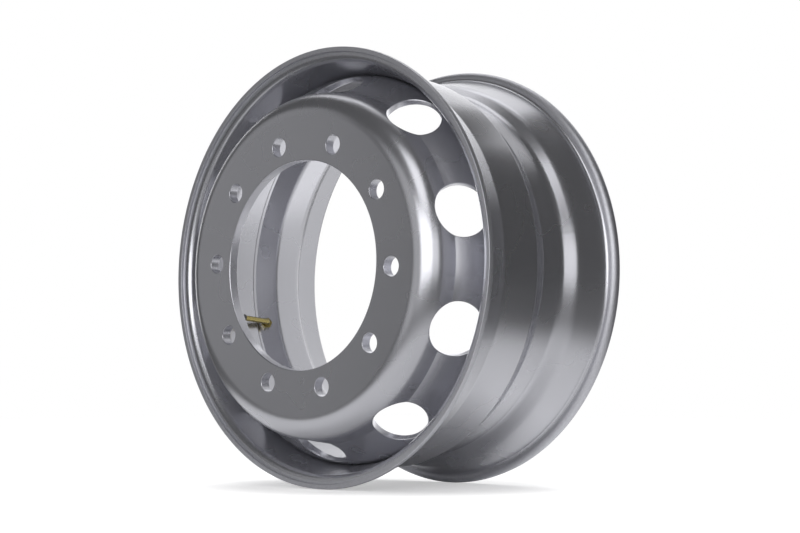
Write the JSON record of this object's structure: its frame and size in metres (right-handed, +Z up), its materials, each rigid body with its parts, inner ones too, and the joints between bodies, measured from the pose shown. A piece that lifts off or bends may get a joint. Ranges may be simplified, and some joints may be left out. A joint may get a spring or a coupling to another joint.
{
  "type": "steel wheel",
  "caption": "Heavy-truck steel wheel: drop-centre rim for a tubeless tyre, deep formed disc with a large centre bore, round stud holes and hand holes, and a bent tyre valve.",
  "frame": {"origin": "on the wheel's axis, at the middle plane of the rim", "axes": "+Y along the wheel's axis towards the vehicle, -Y towards the wheel nuts, +Z up"},
  "size_m": [0.5968, 0.3106, 0.5968],
  "materials": {
    "rim_steel": "satin silver grey over rolled steel, faint rings",
    "disc_steel": "satin silver grey over formed steel",
    "weld_steel": "painted weld bead",
    "valve_brass": "plain turned brass",
    "valve_rubber": "matt black rubber",
    "valve_plate": "zinc plated",
    "core_brass": "plain turned brass",
    "cap_plastic": "black moulded plastic"
  },
  "bodies": {
    "root": {"rim": "rim_steel", "disc": "disc_steel", "disc_weld": "weld_steel", "valve_stem": "valve_brass", "valve_seal": "valve_rubber", "valve_washer": "valve_plate", "valve_nut": "valve_brass", "valve_core": "core_brass", "valve_cap": "cap_plastic"}
  },
  "joints": []
}
